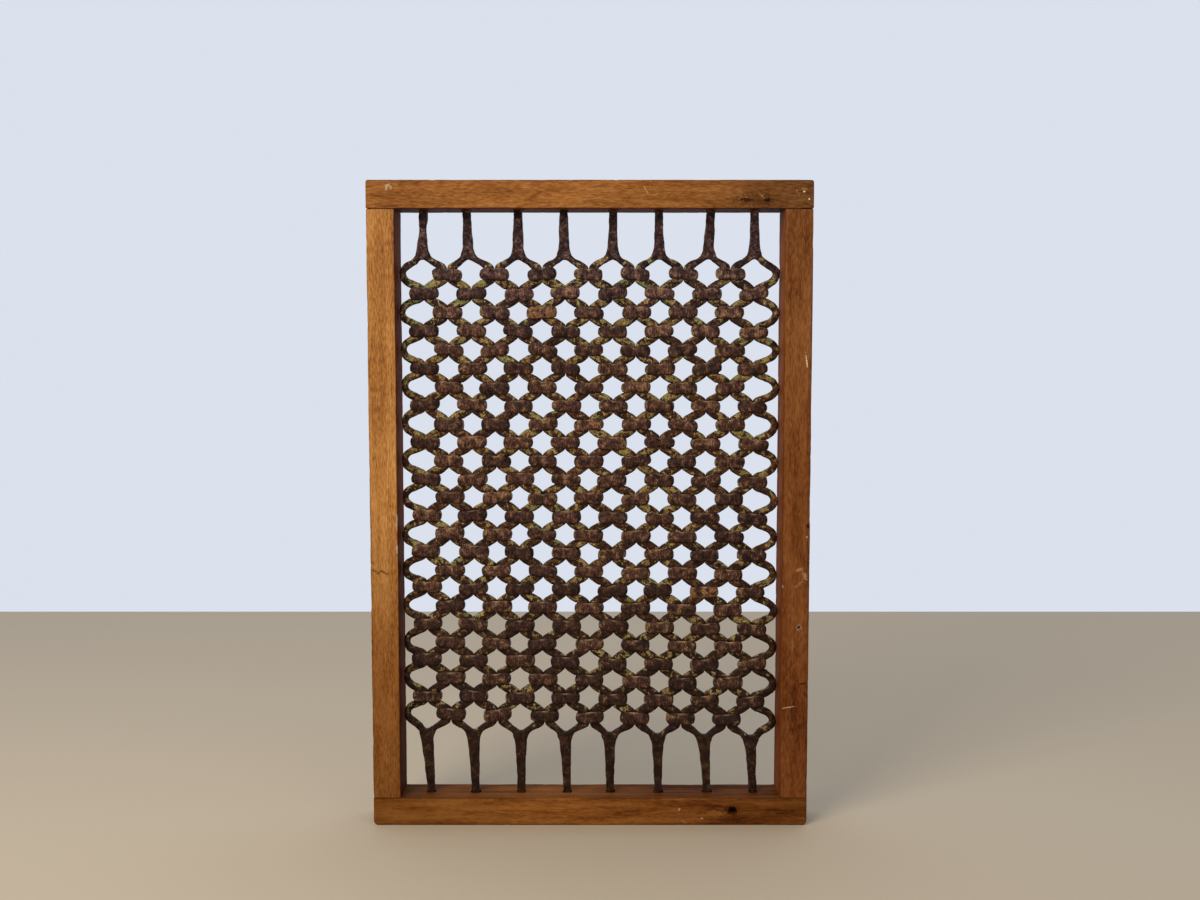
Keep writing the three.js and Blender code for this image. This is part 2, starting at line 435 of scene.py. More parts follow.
@dataclass
class GrilleBar:
    """One forged bar, by its number from the left: two wavy legs that are one tang at each end.

    Attributes:
        per_ring: Points around a leg's section.
        steps: Rings from one station to the next.
        hammering: The size and height of the lumps that hammer and rust have left, by layer.
    """

    plan: GrillePlan
    bar: int
    shape: LegShape = LegShape()
    per_ring: int = 20
    steps: int = 3
    tang_squareness: float = 5.0
    hammering: Layers = ((12, 0.7), (5, 0.42), (2.6, 0.16))
    shifts: np.ndarray = field(init=False)

    def __post_init__(self) -> None:
        """Looks up where the legs cross."""
        self.shifts = self.plan.crossings()

    def is_loop(self, side: Side) -> bool:
        """Whether the leg on that side has no neighbour and loops near a stile instead."""
        return self.bar == (0 if side is Side.LEFT else self.plan.bar_count - 1)

    def spread(self, side: Side, share: float) -> tuple[float, float]:
        """How much further out than its stations a leg stands: only the loops at the right stile do.

        Args:
            side: The leg's side.
            share: The share of the way to its outermost point.

        Returns:
            The distance for the edge towards the bar's axis and for the edge away from it.
        """
        if side is Side.LEFT or not self.is_loop(side):
            return 0.0, 0.0
        near, far = self.shape.right_spread
        return near * share**2, far * share**2

    def span(self, side: Side, own_row: int, down: int, random: np.random.Generator) -> list[list[float]]:
        """The stations of a leg from a strap on the bar's axis to the next row.

        Args:
            side: The leg's side.
            own_row: The row of the strap on the axis.
            down: 1 if the next row is the one below and -1 if it is above.
            random: Where this span's own thickness comes from.

        Returns:
            Rows of near x, near z, far x, far z, how painted it is, and 0 because it isn't the tang.
        """
        plan, sign = self.plan, side.value
        next_row = own_row + down
        here = self.shifts[own_row, 2 * self.bar + 1]
        there = self.shifts[next_row, 2 * self.bar + 1 + sign]
        scale = random.uniform(0.97, 1.16)
        rows = []
        stations = self.shape.loop_stations if self.is_loop(side) else self.shape.stations
        for near_out, near_rise, far_out, far_rise in stations:
            along = (near_rise + far_rise) / 2 / plan.row_pitch
            near_more, far_more = self.spread(side, along)
            near_out, far_out = near_out + near_more, far_out + far_more
            middle = np.array([near_out + far_out, near_rise + far_rise]) / 2
            bulge = math.sin(math.pi * min(max(along, 0), 1)) ** 2
            half = np.array([far_out - near_out, far_rise - near_rise]) / 2 * (1 + (scale - 1) * bulge)
            shift = here + (there - here) * along
            row = []
            for point in (middle - half, middle + half):
                x = plan.bar_x(self.bar) + sign * point[0]
                z = plan.row_z(own_row) - down * point[1]
                row += [x + shift[0], z - plan.hang(x, z) + shift[1]]
            rows.append([*row, bulge, 0.0])
        return rows

    def fork(self, side: Side, shape: ForkShape) -> list[list[float]]:
        """The stations of a leg from an end row outwards to the end of the tang.

        Args:
            side: The leg's side.
            shape: The shape of that end.

        Returns:
            Rows of near x, near z, far x, far z, how painted it is, and whether it is the tang.
        """
        plan, sign = self.plan, side.value
        end_row = 0 if shape.up > 0 else plan.row_count - 1
        shift = self.shifts[end_row, 2 * self.bar + 1 + sign]
        axis, lean, crotch_lean = plan.bar_x(self.bar), shape.leans[self.bar], shape.crotches[self.bar]
        end_z = plan.row_z(end_row)
        rail_z = plan.rail_z(shape.up)
        reach = abs(rail_z - end_z)
        fork_half, fork_top = shape.stations[-1][2] * shape.breadth, shape.stations[-1][1]
        drawn_crotch = shape.stations[shape.joined][1]
        stations = shape.stations
        if self.is_loop(side):
            stations = shape.loop_start + stations[len(shape.loop_start) :]
        rows = []
        for number, (near_out, near_rise, far_out, far_rise) in enumerate(stations):
            near_rise *= 1 + (shape.crotch / drawn_crotch - 1) * min(near_rise / drawn_crotch, 1)
            share = min(number / shape.joined, 1)
            near_more, far_more = self.spread(side, 1 - share)
            near_out += near_more
            far_out = far_out * (1 + (shape.breadth - 1) * share) + far_more
            own = shift * (1 - share)
            row = []
            for out, rise in ((near_out, near_rise), (far_out, far_rise)):
                x = axis + sign * out + crotch_lean * share
                z = end_z + shape.up * rise
                low = plan.hang(axis + sign * out * (1 - share), z)
                row += [x + own[0], z - low + own[1]]
            rows.append([*row, 0.5 * (1 - share), float(number >= shape.joined)])
        start_z = rows[-1][1]
        length = rail_z + shape.up * shape.in_rail - start_z
        count = int(abs(length) / shape.ring_gap)
        for step in range(1, count + 1):
            z = start_z + length * step / count
            way = min((abs(z - end_z) - fork_top) / (reach - fork_top), 1)
            half = shape.tang_width / 2 + (fork_half - shape.tang_width / 2) * (1 - way) ** shape.taper
            half *= 1 - (1 - shape.waists[self.bar]) * math.sin(math.pi * min(way * 1.1, 1)) ** 2
            x = axis + crotch_lean + (lean - crotch_lean) * way
            rows.append([x, z, x + sign * half, z, 0.0, 1.0])
        return rows

    def leg_rows(self, side: Side) -> np.ndarray:
        """All stations of one leg, from the top of its tang to the bottom.

        Args:
            side: The leg's side.

        Returns:
            One row for each station, as `span` and `fork` make them.
        """
        random = np.random.default_rng(100 + 2 * self.bar + (side is Side.RIGHT))
        rows = self.fork(side, TOP_FORK)[::-1]
        for own_row in range(1, self.plan.row_count, 2):
            above = self.span(side, own_row, -1, random)[::-1]
            below = self.span(side, own_row, 1, random)
            rows += above if own_row == 1 else above[1:]
            rows += below[1:]
        rows += self.fork(side, BOTTOM_FORK)
        return np.array(rows)

    def build(self) -> bpy.types.Object:
        """Makes the bar.

        Returns:
            The finished mesh object.
        """
        skin = Skin()
        angles = np.linspace(0, 2 * math.pi, self.per_ring, endpoint=False)
        leg = squircle(angles, self.shape.squareness)
        across, deep = squircle(angles, self.tang_squareness)
        tang_half = (np.where(across < -1e-6, -1.0, across), deep)
        for side in Side:
            rows = curve_through(self.leg_rows(side), self.steps)
            near, far = rows[:, None, 0:2], rows[:, None, 2:4]
            joined = np.clip(rows[:, 5], 0, 1)
            across, deep = (np.where(joined[:, None] > 0.99, *pair) for pair in zip(tang_half, leg))
            rings = np.empty((len(rows), self.per_ring, 3))
            rings[..., [0, 2]] = (near + far) / 2 + (far - near) / 2 * across[..., None]
            rings[..., 1] = self.shape.depth / 2 * deep
            span = np.repeat(np.clip(rows[:, 4], 0, 1), self.per_ring)
            tang = np.repeat(joined, self.per_ring)
            skin.add(rings.reshape(-1, 3), loop_faces(len(rows), self.per_ring), span=span, tang=tang)
        made = skin.build(f"iron_bar_{self.bar + 1}", weld=0.02)
        roughen(made, self.hammering, seed=self.bar * 3.7)
        shade(made)
        return made


@dataclass
class StrapSet:
    """The straps that are fixed to one bar, by its number from the left. Sizes in millimetres.

    Attributes:
        wall: The thickness of the strip that a strap is bent from; `height` is its width.
        squareness: How square a strap is seen from above, where 2 is round.
        around: Points along the strip.
        half_profile: Half of the strip's section: shares of its wall, from inside out, and of its height.
        rusted: The straps that have rusted bright orange, by row and by half pitches from the left.
        turns: How much the straps are turned about each axis, in radians.
        hammering: The size and height of the lumps that hammer and rust have left, by layer.
    """

    plan: GrillePlan
    bar: int
    half_width: float = 18.1
    half_depth: float = 7.9
    wall: float = 2.9
    height: float = 15.0
    squareness: float = 4.3
    around: int = 60
    half_profile: Layers = (
        (0.0, 0.46), (0.28, 0.5), (0.6, 0.49), (0.86, 0.42), (1.06, 0.26), (1.17, 0.09),
    )
    rusted: tuple[tuple[int, int], ...] = ((2, 6), (17, 13))
    turns: Triple = (0.04, 0.055, 0.03)
    hammering: Layers = ((8, 0.6), (3.6, 0.34), (1.9, 0.12))

    @property
    def profile(self) -> list[tuple[float, float]]:
        """The strip's whole section, from its lower inner edge round to its upper inner edge."""
        return [(out, -rise) for out, rise in self.half_profile] + list(self.half_profile[::-1])

    def places(self) -> list[tuple[float, float, int, bool]]:
        """Where the straps are.

        Returns:
            Each strap's middle as x and z, its row, and whether it has rusted bright orange.
        """
        plan = self.plan
        shifts = plan.crossings()
        found = []
        for row in range(plan.row_count):
            if row % 2:
                slots = [2 * self.bar + 1]
            elif self.bar % 2:
                slots = []
            else:
                slots = [s for s in (2 * self.bar, 2 * self.bar + 2) if 0 < s < 2 * plan.bar_count]
            for slot in slots:
                x = plan.first_bar_x + (slot - 1) * plan.bar_pitch / 2
                z = plan.row_z(row)
                shift_x, shift_z = shifts[row, slot]
                hung = z - float(plan.hang(x, z)) + shift_z
                found.append((x + shift_x, hung, row, (row, slot) in self.rusted))
        return found

    def strap(self, row: int, random: np.random.Generator) -> tuple[np.ndarray, Marks]:
        """One strap around its own middle.

        The upper rows were hammered down between the legs into two lobes; the lower ones were left flatter.

        Args:
            row: The strap's row.
            random: Where this strap's own shape comes from.

        Returns:
            The points as rings along the strip, and the marks for its rims, ends, middle and tone.
        """
        angles = np.linspace(0, 2 * math.pi, self.around, endpoint=False) + 0.5 * math.pi
        across, deep = squircle(angles, self.squareness)
        half_width = self.half_width * random.uniform(0.97, 1.03)
        left, right = random.uniform(0.9, 1.1, 2)
        x = half_width * across
        lobed = np.clip(random.normal(0.9 - 0.55 * row / self.plan.row_count, 0.28), 0.05, 1.1)
        # Each half has its own height, and the strip is lower at its ends and pinched in its middle.
        tall = self.height * (left + (right - left) / (1 + np.exp(-x / 2.5)))
        tall = tall * (1 - (0.2 + 0.1 * lobed) * np.clip((np.abs(across) - 0.72) / 0.28, 0, 1) ** 1.6)
        pinch = lobed * random.uniform(0.12, 0.26) * np.exp(-((x / 2.6) ** 2))
        step = lobed * np.clip(random.normal(0, 0.9), -1.6, 1.6) * np.tanh(x / 3.2)
        # Two lobes stand out over the legs, with a groove between them, and the strip laps at the back.
        groove = 0.3 + lobed * random.uniform(0.8, 2.2)
        lobe = random.uniform(0.3, 0.6) + 0.6 * lobed
        front = self.half_depth + lobe * (np.exp(-(((np.abs(x) - 8.5) / 5) ** 2)) - 0.6)
        front = front - groove * np.exp(-((x / 1.6) ** 2)) * (deep < 0)
        lap = 0.9 / (1 + np.exp(-x * 3)) * np.clip(1 - x / 14, 0, 1) * (deep > 0)
        y = (front + lap) * deep
        inner = np.stack([x * (1 - self.wall / half_width), y - self.wall * deep], axis=-1)
        outer = np.stack([x, y], axis=-1)
        out, rise = np.array(self.profile).T
        points = np.empty((self.around, len(out), 3))
        points[..., :2] = inner[:, None] + (outer - inner)[:, None] * out[:, None]
        points[..., 2] = (tall * (1 - pinch))[:, None] * rise + step[:, None]
        tone = random.uniform(0, 1)
        paint = np.abs(across) ** 5 * np.where(across < 0, random.uniform(0.3, 1.3), random.uniform(0, 0.8))
        marks = {
            "rim": np.tile(np.minimum(np.abs(rise) * 2, 1) ** 4, self.around),
            "top": np.tile(rise + 0.5, self.around),
            "end": np.clip(np.repeat(paint, len(out)), 0, 1),
            "middle": np.repeat(np.exp(-((x / 5) ** 2)), len(out)),
            "tone": np.full(self.around * len(out), tone),
        }
        return points.reshape(-1, 3), marks

    def build(self) -> bpy.types.Object:
        """Makes the bar's straps as one mesh.

        Returns:
            The finished mesh object.
        """
        random = np.random.default_rng(500 + self.bar)
        skin = Skin()
        faces = loop_faces(self.around, len(self.profile), closed=True)
        for x, z, row, rusted in self.places():
            points, marks = self.strap(row, random)
            turn = Euler([random.normal(0, spread) for spread in self.turns])
            points = points @ np.array(turn.to_matrix()).T + np.array([x, 0, z])
            skin.add(points, faces, rusted=np.full(len(points), float(rusted)), **marks)
        made = skin.build(f"iron_straps_{self.bar + 1}")
        roughen(made, self.hammering, seed=self.bar * 5.3 + 40)
        shade(made)
        return made


# The timber frame.


@dataclass(frozen=True)
class Pit:
    """A hole or a chip in a timber member, as the tool that made it: a lumpy plug that is cut away.

    Attributes:
        centre: Its middle, in millimetres.
        radii: Its half sizes along X, Y and Z, in millimetres.
        squareness: 2 is round, and more is squarer.
        lumps: How uneven its wall is, in millimetres.
    """

    centre: Triple
    radii: Triple
    squareness: float = 2.2
    lumps: float = 0.8

    def build(self) -> bpy.types.Object:
        """Makes the plug that is cut away.

        Returns:
            The plug.
        """
        rings, per_ring = 9, 20
        tilts = np.linspace(-0.5 * math.pi, 0.5 * math.pi, rings + 2)[1:-1]
        angles = np.linspace(0, 2 * math.pi, per_ring, endpoint=False)
        flat, rise = squircle(tilts, self.squareness)
        across, up = squircle(angles, self.squareness)
        points = np.empty((rings, per_ring, 3))
        points[..., 0] = flat[:, None] * across
        points[..., 1] = rise[:, None]
        points[..., 2] = flat[:, None] * up
        points = points.reshape(-1, 3) * self.radii
        lumps = grain_noise(points + self.centre, 4.0, 9.0) * self.lumps
        points *= 1 + (lumps / max(min(self.radii), 2.0))[:, None]
        skin = Skin()
        skin.add(points + self.centre, loop_faces(rings, per_ring))
        return skin.build("plug")


@dataclass
class TimberMember:
    """A rail or a stile. Sizes in millimetres.

    Attributes:
        outer: 1 if the window's outside is on its high side and -1 if on its low side.
        corner: The radius of its two outer corners, seen from the front.
        arris: The radius that its long edges are worn to.
        butt: The radius of the edges of its ends.
        covered: How much of its inner face, from each end, lies on another member.
        tight: The radius of its inner edges there.
        step: From one point of its skin to the next.
        bites: The size, the rarity and the depth of the bites out of its worn edges, by kind.
        end_rings: The sizes of the rings on its end faces, as shares of the end.
        waves: The size and height of what planing and wear have left uneven, by layer.
        inward: How much smaller it is than the CAD piece all round, so that the waves stay inside.
    """

    node: str
    outer: int
    seed: float
    grain: Grain = Grain.UPRIGHT
    corner: float = 0.0
    arris: float = 1.5
    butt: float = 0.2
    covered: float = 0.0
    tight: float = 0.3
    pits: tuple[Pit, ...] = ()
    step: float = 4.0
    arc_points: int = 4
    bites: Stations = ((9.0, 0.25, 1.6), (55.0, 0.0, 0.9))
    end_rings: tuple[float, ...] = (0.04, 0.5, 0.97)
    waves: Layers = ((38, 0.22), (9, 0.07))
    inward: float = 0.3

    def section(self, half_wide: float, half_deep: float, inner: float) -> tuple[np.ndarray, np.ndarray]:
        """The member's section with rounded corners.

        Args:
            half_wide: Half its size seen from the front.
            half_deep: Half its depth.
            inner: The radius of the two corners towards the opening.

        Returns:
            The points, as across and depth, and how much each is part of a rounded edge.
        """
        flats = (int(2 * half_wide / self.step), int(2 * half_deep / self.step))
        arcs = []
        for number, (a, b) in enumerate(((1, 1), (-1, 1), (-1, -1), (1, -1))):
            radius = self.arris if a == self.outer else inner
            angles = 0.5 * math.pi * (number + np.linspace(0, 1, self.arc_points))
            centre = np.array([a * (half_wide - radius), b * (half_deep - radius)])
            arcs.append(centre + radius * np.stack([np.cos(angles), np.sin(angles)], axis=-1))
        points, worn = [], []
        for number, arc in enumerate(arcs):
            flat = np.linspace(arc[-1], arcs[(number + 1) % 4][0], flats[number % 2] + 1)[1:-1]
            points += [arc, flat]
            worn += [np.ones(len(arc)), np.zeros(len(flat))]
        return np.concatenate(points), np.concatenate(worn)

    def build(self) -> bpy.types.Object:
        """Makes the member.

        Returns:
            The finished mesh object.
        """
        low, high = (np.array(corner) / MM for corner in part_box(self.node))
        axis = self.grain.value
        wide = 2 - axis
        middle, half = (low + high) / 2, (high - low) / 2
        open_section, worn = self.section(half[wide], half[1], self.arris)
        tight_section, _ = self.section(half[wide], half[1], self.tight)
        length = 2 * half[axis]
        reach = max(self.corner, self.butt)
        turns = reach * (1 - np.cos(np.linspace(0, 0.5 * math.pi, 8)))
        plain = np.linspace(reach, length - reach, int((length - 2 * reach) / self.step) + 1)[1:-1]
        places = np.concatenate([turns, plain, length - turns[::-1]])
        from_end = np.minimum(places, length - places)[:, None]
        outer_in, butt_in = (
            radius - np.sqrt(np.maximum(radius**2 - np.maximum(radius - from_end, 0) ** 2, 0))
            for radius in (reach, self.butt)
        )
        share = np.clip((from_end - self.covered) / 5, 0, 1) if self.covered else np.ones_like(from_end)
        sections = tight_section + (open_section - tight_section) * share[..., None]
        inset = np.where(sections[..., 0] * self.outer > 0, outer_in, butt_in)
        rings = np.empty((len(places), len(worn), 3))
        rings[..., axis] = low[axis] + places[:, None]
        rings[..., wide] = middle[wide] + sections[..., 0] * (1 - inset / half[wide])
        rings[..., 1] = middle[1] + sections[..., 1] * (1 - butt_in / half[1])
        shares = np.array(self.end_rings)[:, None, None]
        ends = [ring.mean(axis=0) + (ring - ring.mean(axis=0)) * shares for ring in (rings[0], rings[-1])]
        points = np.concatenate([ends[0], rings, ends[1][::-1]]).reshape(-1, 3)
        # The face towards the opening is marked up to where its edges begin to turn.
        side = np.clip(-open_section[:, 0] * self.outer / half[wide], 0, 1)
        inner = np.clip((side - 0.95) / 0.04, 0, 1)
        wear = worn * np.where((inner > 0) & (from_end < self.covered), 0.15, 1.0)
        bare = np.zeros(len(shares) * len(worn))
        inner = np.tile(inner, (len(places), 1))
        wear, inner = (np.concatenate([bare, values.ravel(), bare]) for values in (wear, inner))
        bites = sum(
            np.clip(grain_noise(points, size, self.seed + 5 * kind) - rarity, 0, 1) * depth
            for kind, (size, rarity, depth) in enumerate(self.bites)
        )
        pull = middle - points
        pull[:, axis] = 0
        pull /= np.maximum(np.linalg.norm(pull, axis=1), 1e-6)[:, None]
        points = points + pull * (bites * wear)[:, None]
        skin = Skin()
        skin.add(points, loop_faces(len(places) + 2 * len(shares), len(worn)), wear=wear, inner=inner)
        made = skin.build(f"timber_{self.node}")
        roughen(made, self.waves, seed=self.seed, inward=self.inward)
        self.cut(made)
        shade(made)
        for face in made.data.polygons:
            if abs(face.normal[axis]) > 0.99:
                face.use_smooth = False
        return made

    def cut(self, made: bpy.types.Object) -> None:
        """Cuts the pits out of the member.

        Args:
            made: The member's object.
        """
        if not self.pits:
            return
        plugs = [pit.build() for pit in self.pits]
        gathered = bpy.data.collections.new("plugs")
        bpy.context.scene.collection.children.link(gathered)
        for plug in plugs:
            gathered.objects.link(plug)
        cutter = made.modifiers.new("pits", "BOOLEAN")
        cutter.operation = "DIFFERENCE"
        cutter.operand_type = "COLLECTION"
        cutter.collection = gathered
        cutter.solver = "EXACT"
        bpy.context.view_layer.update()
        result = made.evaluated_get(bpy.context.evaluated_depsgraph_get())
        mesh = bpy.data.meshes.new_from_object(result)
        made.modifiers.remove(cutter)
        old, made.data = made.data, mesh
        mesh.name = made.name
        bpy.data.meshes.remove(old)
        for plug in plugs:
            bpy.data.objects.remove(plug)
        bpy.data.collections.remove(gathered)


def tang_holes(plan: GrillePlan, shape: ForkShape) -> tuple[Pit, ...]:
    """The hand-cut holes that the tangs of one rail sit in.

    Args:
        plan: Where the bars stand.
        shape: The end of the bars that goes into the rail.

    Returns:
        One hole for each bar.
    """
    random = np.random.default_rng(31 + shape.up)
    slack = (1.0, 2.2)
    half_wide, half_deep, depth = shape.tang_width / 2, 5.0, shape.in_rail + 2
    z = plan.rail_z(shape.up)
    return tuple(
        Pit(
            centre=(plan.bar_x(bar) + shape.leans[bar] + random.uniform(-0.5, 0.5), 0.0, z),
            radii=(half_wide + random.uniform(*slack), half_deep + random.uniform(*slack), depth),
            squareness=6.0,
            lumps=0.25,
        )
        for bar in range(plan.bar_count)
    )


# The finishes.


def linear(code: str) -> tuple[float, float, float, float]:
    """A colour's linear values from its sRGB hex code."""
    shares = [int(code[i : i + 2], 16) / 255 for i in (1, 3, 5)]
    return (*(s / 12.92 if s <= 0.04045 else ((s + 0.055) / 1.055) ** 2.4 for s in shares), 1.0)


@dataclass
class Surface:
    """A node tree that is being filled, with the coordinates that its patterns are laid in, in metres."""

    tree: bpy.types.NodeTree
    place: Any = None
    height: Any = None

    def add(self, kind: str, inputs: Inputs | None = None, out: int | str = 0, **settings: Any) -> Any:
        """Adds a node with its settings and links.

        Args:
            kind: The node's type, without the word that they all begin with.
            inputs: For each input, by number or name, its value, its hex colour or the socket that feeds it.
            out: The output that is given back.
            **settings: The node's own settings; `stops` are a colour ramp's places and hex colours.

        Returns:
            The socket of that output, or None if the node has no output.
        """
        made = self.tree.nodes.new("ShaderNode" + kind)
        stops = settings.pop("stops", ())
        for name, value in settings.items():
            setattr(made, name, value)
        for _ in stops[2:]:
            made.color_ramp.elements.new(1.0)
        for number, (spot, code) in enumerate(stops):
            made.color_ramp.elements[number].position = spot
            made.color_ramp.elements[number].color = linear(code)
        for key, value in (inputs or {}).items():
            if isinstance(value, bpy.types.NodeSocket):
                self.tree.links.new(value, made.inputs[key])
            else:
                made.inputs[key].default_value = linear(value) if isinstance(value, str) else value
        return made.outputs[out] if made.outputs else None

    def pattern(
        self,
        size: float,
        seed: float,
        stretch: Triple = (1.0, 1.0, 1.0),
        detail: float = 3.0,
        blur: float = 0.55,
        warp: float = 0.0,
    ) -> Any:
        """Noise with lumps of a real size.

        Args:
            size: The size of a lump, in millimetres.
            seed: Moves the pattern.
            stretch: How many times longer a lump is along X, Y and Z.
            detail: How many finer layers it has.
            blur: How strong the finer layers are.
            warp: How much the lumps are drawn out of shape.

        Returns:
            The socket of a value from about 0.25 to 0.75.
        """
        scale = tuple(1 / (size * MM * s) for s in stretch)
        start = (seed, seed * 0.7, seed * 1.3)
        laid = self.add("Mapping", {"Vector": self.place, "Location": start, "Scale": scale})
        look = {"Scale": 1.0, "Detail": detail, "Roughness": blur, "Distortion": warp}
        return self.add("TexNoise", {"Vector": laid, **look})

    def total(self, *terms: tuple[Any, float]) -> Any:
        """Adds up sockets.

        Args:
            *terms: Each socket with what it is multiplied by.

        Returns:
            The sum's socket.
        """
        made: Any = 0.0
        for source, weight in terms:
            made = self.add("Math", {0: source, 1: weight, 2: made}, operation="MULTIPLY_ADD")
        return made

    def coat(self, under: Any, over: Any, where: Any, low: float, high: float, share: float = 1.0) -> Any:
        """Lays a coat over a colour where a pattern is strong.

        Args:
            under: The colour so far.
            over: The coat's colour: a socket or a hex colour.
            where: The pattern.
            low: The pattern's value where the coat begins.
            high: Its value where the coat is full.
            share: How much of the colour under it a full coat hides.

        Returns:
            The new colour's socket.
        """
        reach = {"Value": where, "From Min": low, "From Max": high, "To Max": share}
        cover = self.add("MapRange", reach, interpolation_type="SMOOTHSTEP")
        return self.add("Mix", {0: cover, 6: under, 7: over}, out=2, data_type="RGBA")


@dataclass(frozen=True)
class Finish:
    """A surface made from one kind of material.

    Attributes:
        roughness: The roughness of its dullest and of its smoothest places.
        sheen: How strong its reflection is, where 0.5 is a clean surface.
        relief: The depth of its fine relief, in millimetres.
    """

    name: str
    roughness: tuple[float, float]
    metallic: float
    ior: float
    sheen: float
    relief: float

    def look(self, surface: Surface) -> tuple[Any, Any, Any]:
        """Fills the surface, as each kind of finish does for itself.

        Args:
            surface: The empty surface.

        Returns:
            The sockets of the colour and of the patterns that the roughness and the relief follow.
        """
        raise NotImplementedError

    def build(self) -> bpy.types.Material:
        """Makes the material.

        Returns:
            The finished material.
        """
        material = bpy.data.materials.new(self.name)
        material.use_nodes = True
        material.node_tree.nodes.clear()
        surface = Surface(material.node_tree)
        surface.place = surface.add("TexCoord", out="Object")
        surface.height = surface.add("SeparateXYZ", {0: surface.place}, out="Z")
        colour, grit, relief = self.look(surface)
        dull, smooth = self.roughness
        gloss = surface.add(
            "MapRange", {"Value": grit, "From Min": 0.35, "From Max": 0.65, "To Min": smooth, "To Max": dull}
        )
        bumps = surface.add("Bump", {"Height": relief, "Distance": self.relief * MM})
        shader = surface.add(
            "BsdfPrincipled",
            {
                "Base Color": colour,
                "Roughness": gloss,
                "Normal": bumps,
                "Metallic": self.metallic,
                "IOR": self.ior,
                "Specular IOR Level": self.sheen,
            },
        )
        surface.add("OutputMaterial", {"Surface": shader})
        return material


@dataclass(frozen=True)
class OldIron(Finish):
    """Iron that was hammered hot and has rusted in the open for long.

    The rust is a dull brown skin, plum coloured at the top, and darker near the bottom rail as damp rust and
    painted shade.

    Attributes:
        grit: The size of a grain of rust, in millimetres. Real ones are under 1 mm and would not show.
        plum: How much of the upper iron is plum coloured.
        damp_and_shade: How dark the lowest iron is, as damp rust and painted shade.
        plum_rust: The colours of plum coloured rust from its pits to its high spots.
    """

    name: str = "wrought_iron_rusted"
    roughness: tuple[float, float] = (0.85, 0.5)
    metallic: float = 0.1
    ior: float = 1.5
    sheen: float = 0.2
    relief: float = 0.8
    grit: float = 1.35
    plum: float = 0.6
    damp_and_shade: float = 0.5
    plum_rust: Stops = (
        (0.42, "#1b1116"), (0.49, "#312228"), (0.55, "#4b373d"), (0.62, "#745c60"), (0.7, "#a88e8c"),
    )

    def weathered_and_shaded(self, surface: Surface, pattern: Any, colour: Any) -> Any:
        """Lays plum rust, and damp rust with painted shade near the bottom rail, over the iron's colour.

        Args:
            surface: The surface.
            pattern: The pattern of the rust.
            colour: The iron's colour so far.

        Returns:
            The new colour's socket.
        """
        plum = surface.add("ValToRGB", {0: pattern}, stops=self.plum_rust)
        colour = surface.coat(colour, plum, surface.height, 0.56, 0.74, self.plum)
        # Darker near the bottom rail: partly damp rust, partly painted shade.
        return surface.coat(colour, "#1c0b08", surface.height, 0.46, 0.1, self.damp_and_shade)


@dataclass(frozen=True)
class PaintedWroughtIron(OldIron):
    """The legs: rusty wrought iron with what is left of ochre and green paint.

    The paint stays as dull flaky patches where the legs slope between the straps.

    Attributes:
        flake: The size of a patch of paint, in millimetres.
        fleck: The size of a fleck of green, in millimetres.
        rust: The colours of the rust from its pits to its high spots, and so on for each paint.
    """

    name: str = "wrought_iron_hammered_rusted_paint_remains"
    plum: float = 0.75
    damp_and_shade: float = 0.72
    flake: float = 6.5
    fleck: float = 9.0
    rust: Stops = (
        (0.38, "#1c100a"), (0.45, "#371f13"), (0.52, "#543620"), (0.58, "#7a5434"), (0.66, "#b48e62"),
    )
    ochre: Stops = ((0.37, "#554124"), (0.46, "#7d6436"), (0.54, "#a28c54"), (0.63, "#d6c48f"))
    mint: Stops = ((0.35, "#3d4424"), (0.5, "#6d7a40"), (0.66, "#a9b87c"))
    olive: Stops = ((0.35, "#463c18"), (0.5, "#857a30"), (0.66, "#bdb268"))

    def look(self, surface: Surface) -> tuple[Any, Any, Any]:
        """Lays the rust, the plum and sooty tones and what is left of the paint.

        Args:
            Lays the rust, the plum tone, the darkening near the bottom rail, what is left of the paint, and
            painted shade on the undersides.

        Returns:
            The colour, and the patterns of the roughness and the relief.
        """
        span, tang = (surface.add("Attribute", out="Fac", attribute_name=name) for name in ("span", "tang"))
        facing = surface.add("SeparateXYZ", {0: surface.add("TexCoord", out="Normal")}, out="Z")
        broad = surface.pattern(60, 3.1, detail=2)
        patches = surface.pattern(self.flake, 7.7, detail=4, warp=0.5)
        grit = surface.pattern(self.grit, 1.9, detail=1, blur=0.7)
        mixed = surface.total((patches, 0.58), (grit, 0.42))
        colour = surface.add("ValToRGB", {0: mixed}, stops=self.rust)
        colour = self.weathered_and_shaded(surface, mixed, colour)
        flecks = surface.pattern(self.fleck, 15.3, detail=2, warp=0.5)
        ochre = surface.add("ValToRGB", {0: surface.total((flecks, 0.45), (grit, 0.55))}, stops=self.ochre)
        # Upward faces get a little more paint: partly paint that stayed on top, partly painted light on the
        # tops of the legs.
        where = ((span, 0.1), (broad, 0.5), (facing, 0.07), (tang, -0.3), (surface.height, 0.16))
        reach = surface.total((patches, 1.0), (grit, 0.08), *where)
        colour = surface.coat(colour, ochre, reach, 0.99, 1.06, 0.86)
        where = ((span, 0.05), (broad, 0.35), (tang, -0.3), (surface.height, 0.14))
        reach = surface.total((flecks, 1.0), (grit, 0.15), *where)
        mint, olive = (surface.add("ValToRGB", {0: grit}, stops=stops) for stops in (self.mint, self.olive))
        green = surface.coat(mint, olive, surface.pattern(45, 33.0, detail=1), 0.46, 0.54)
        colour = surface.coat(colour, green, reach, 0.985, 1.025, 0.85)
        # Painted shade on the undersides of the legs.
        colour = surface.coat(colour, "#150b09", facing, -0.2, -0.8, 0.6)
        return colour, grit, surface.total((grit, 1.0), (patches, 1.4))


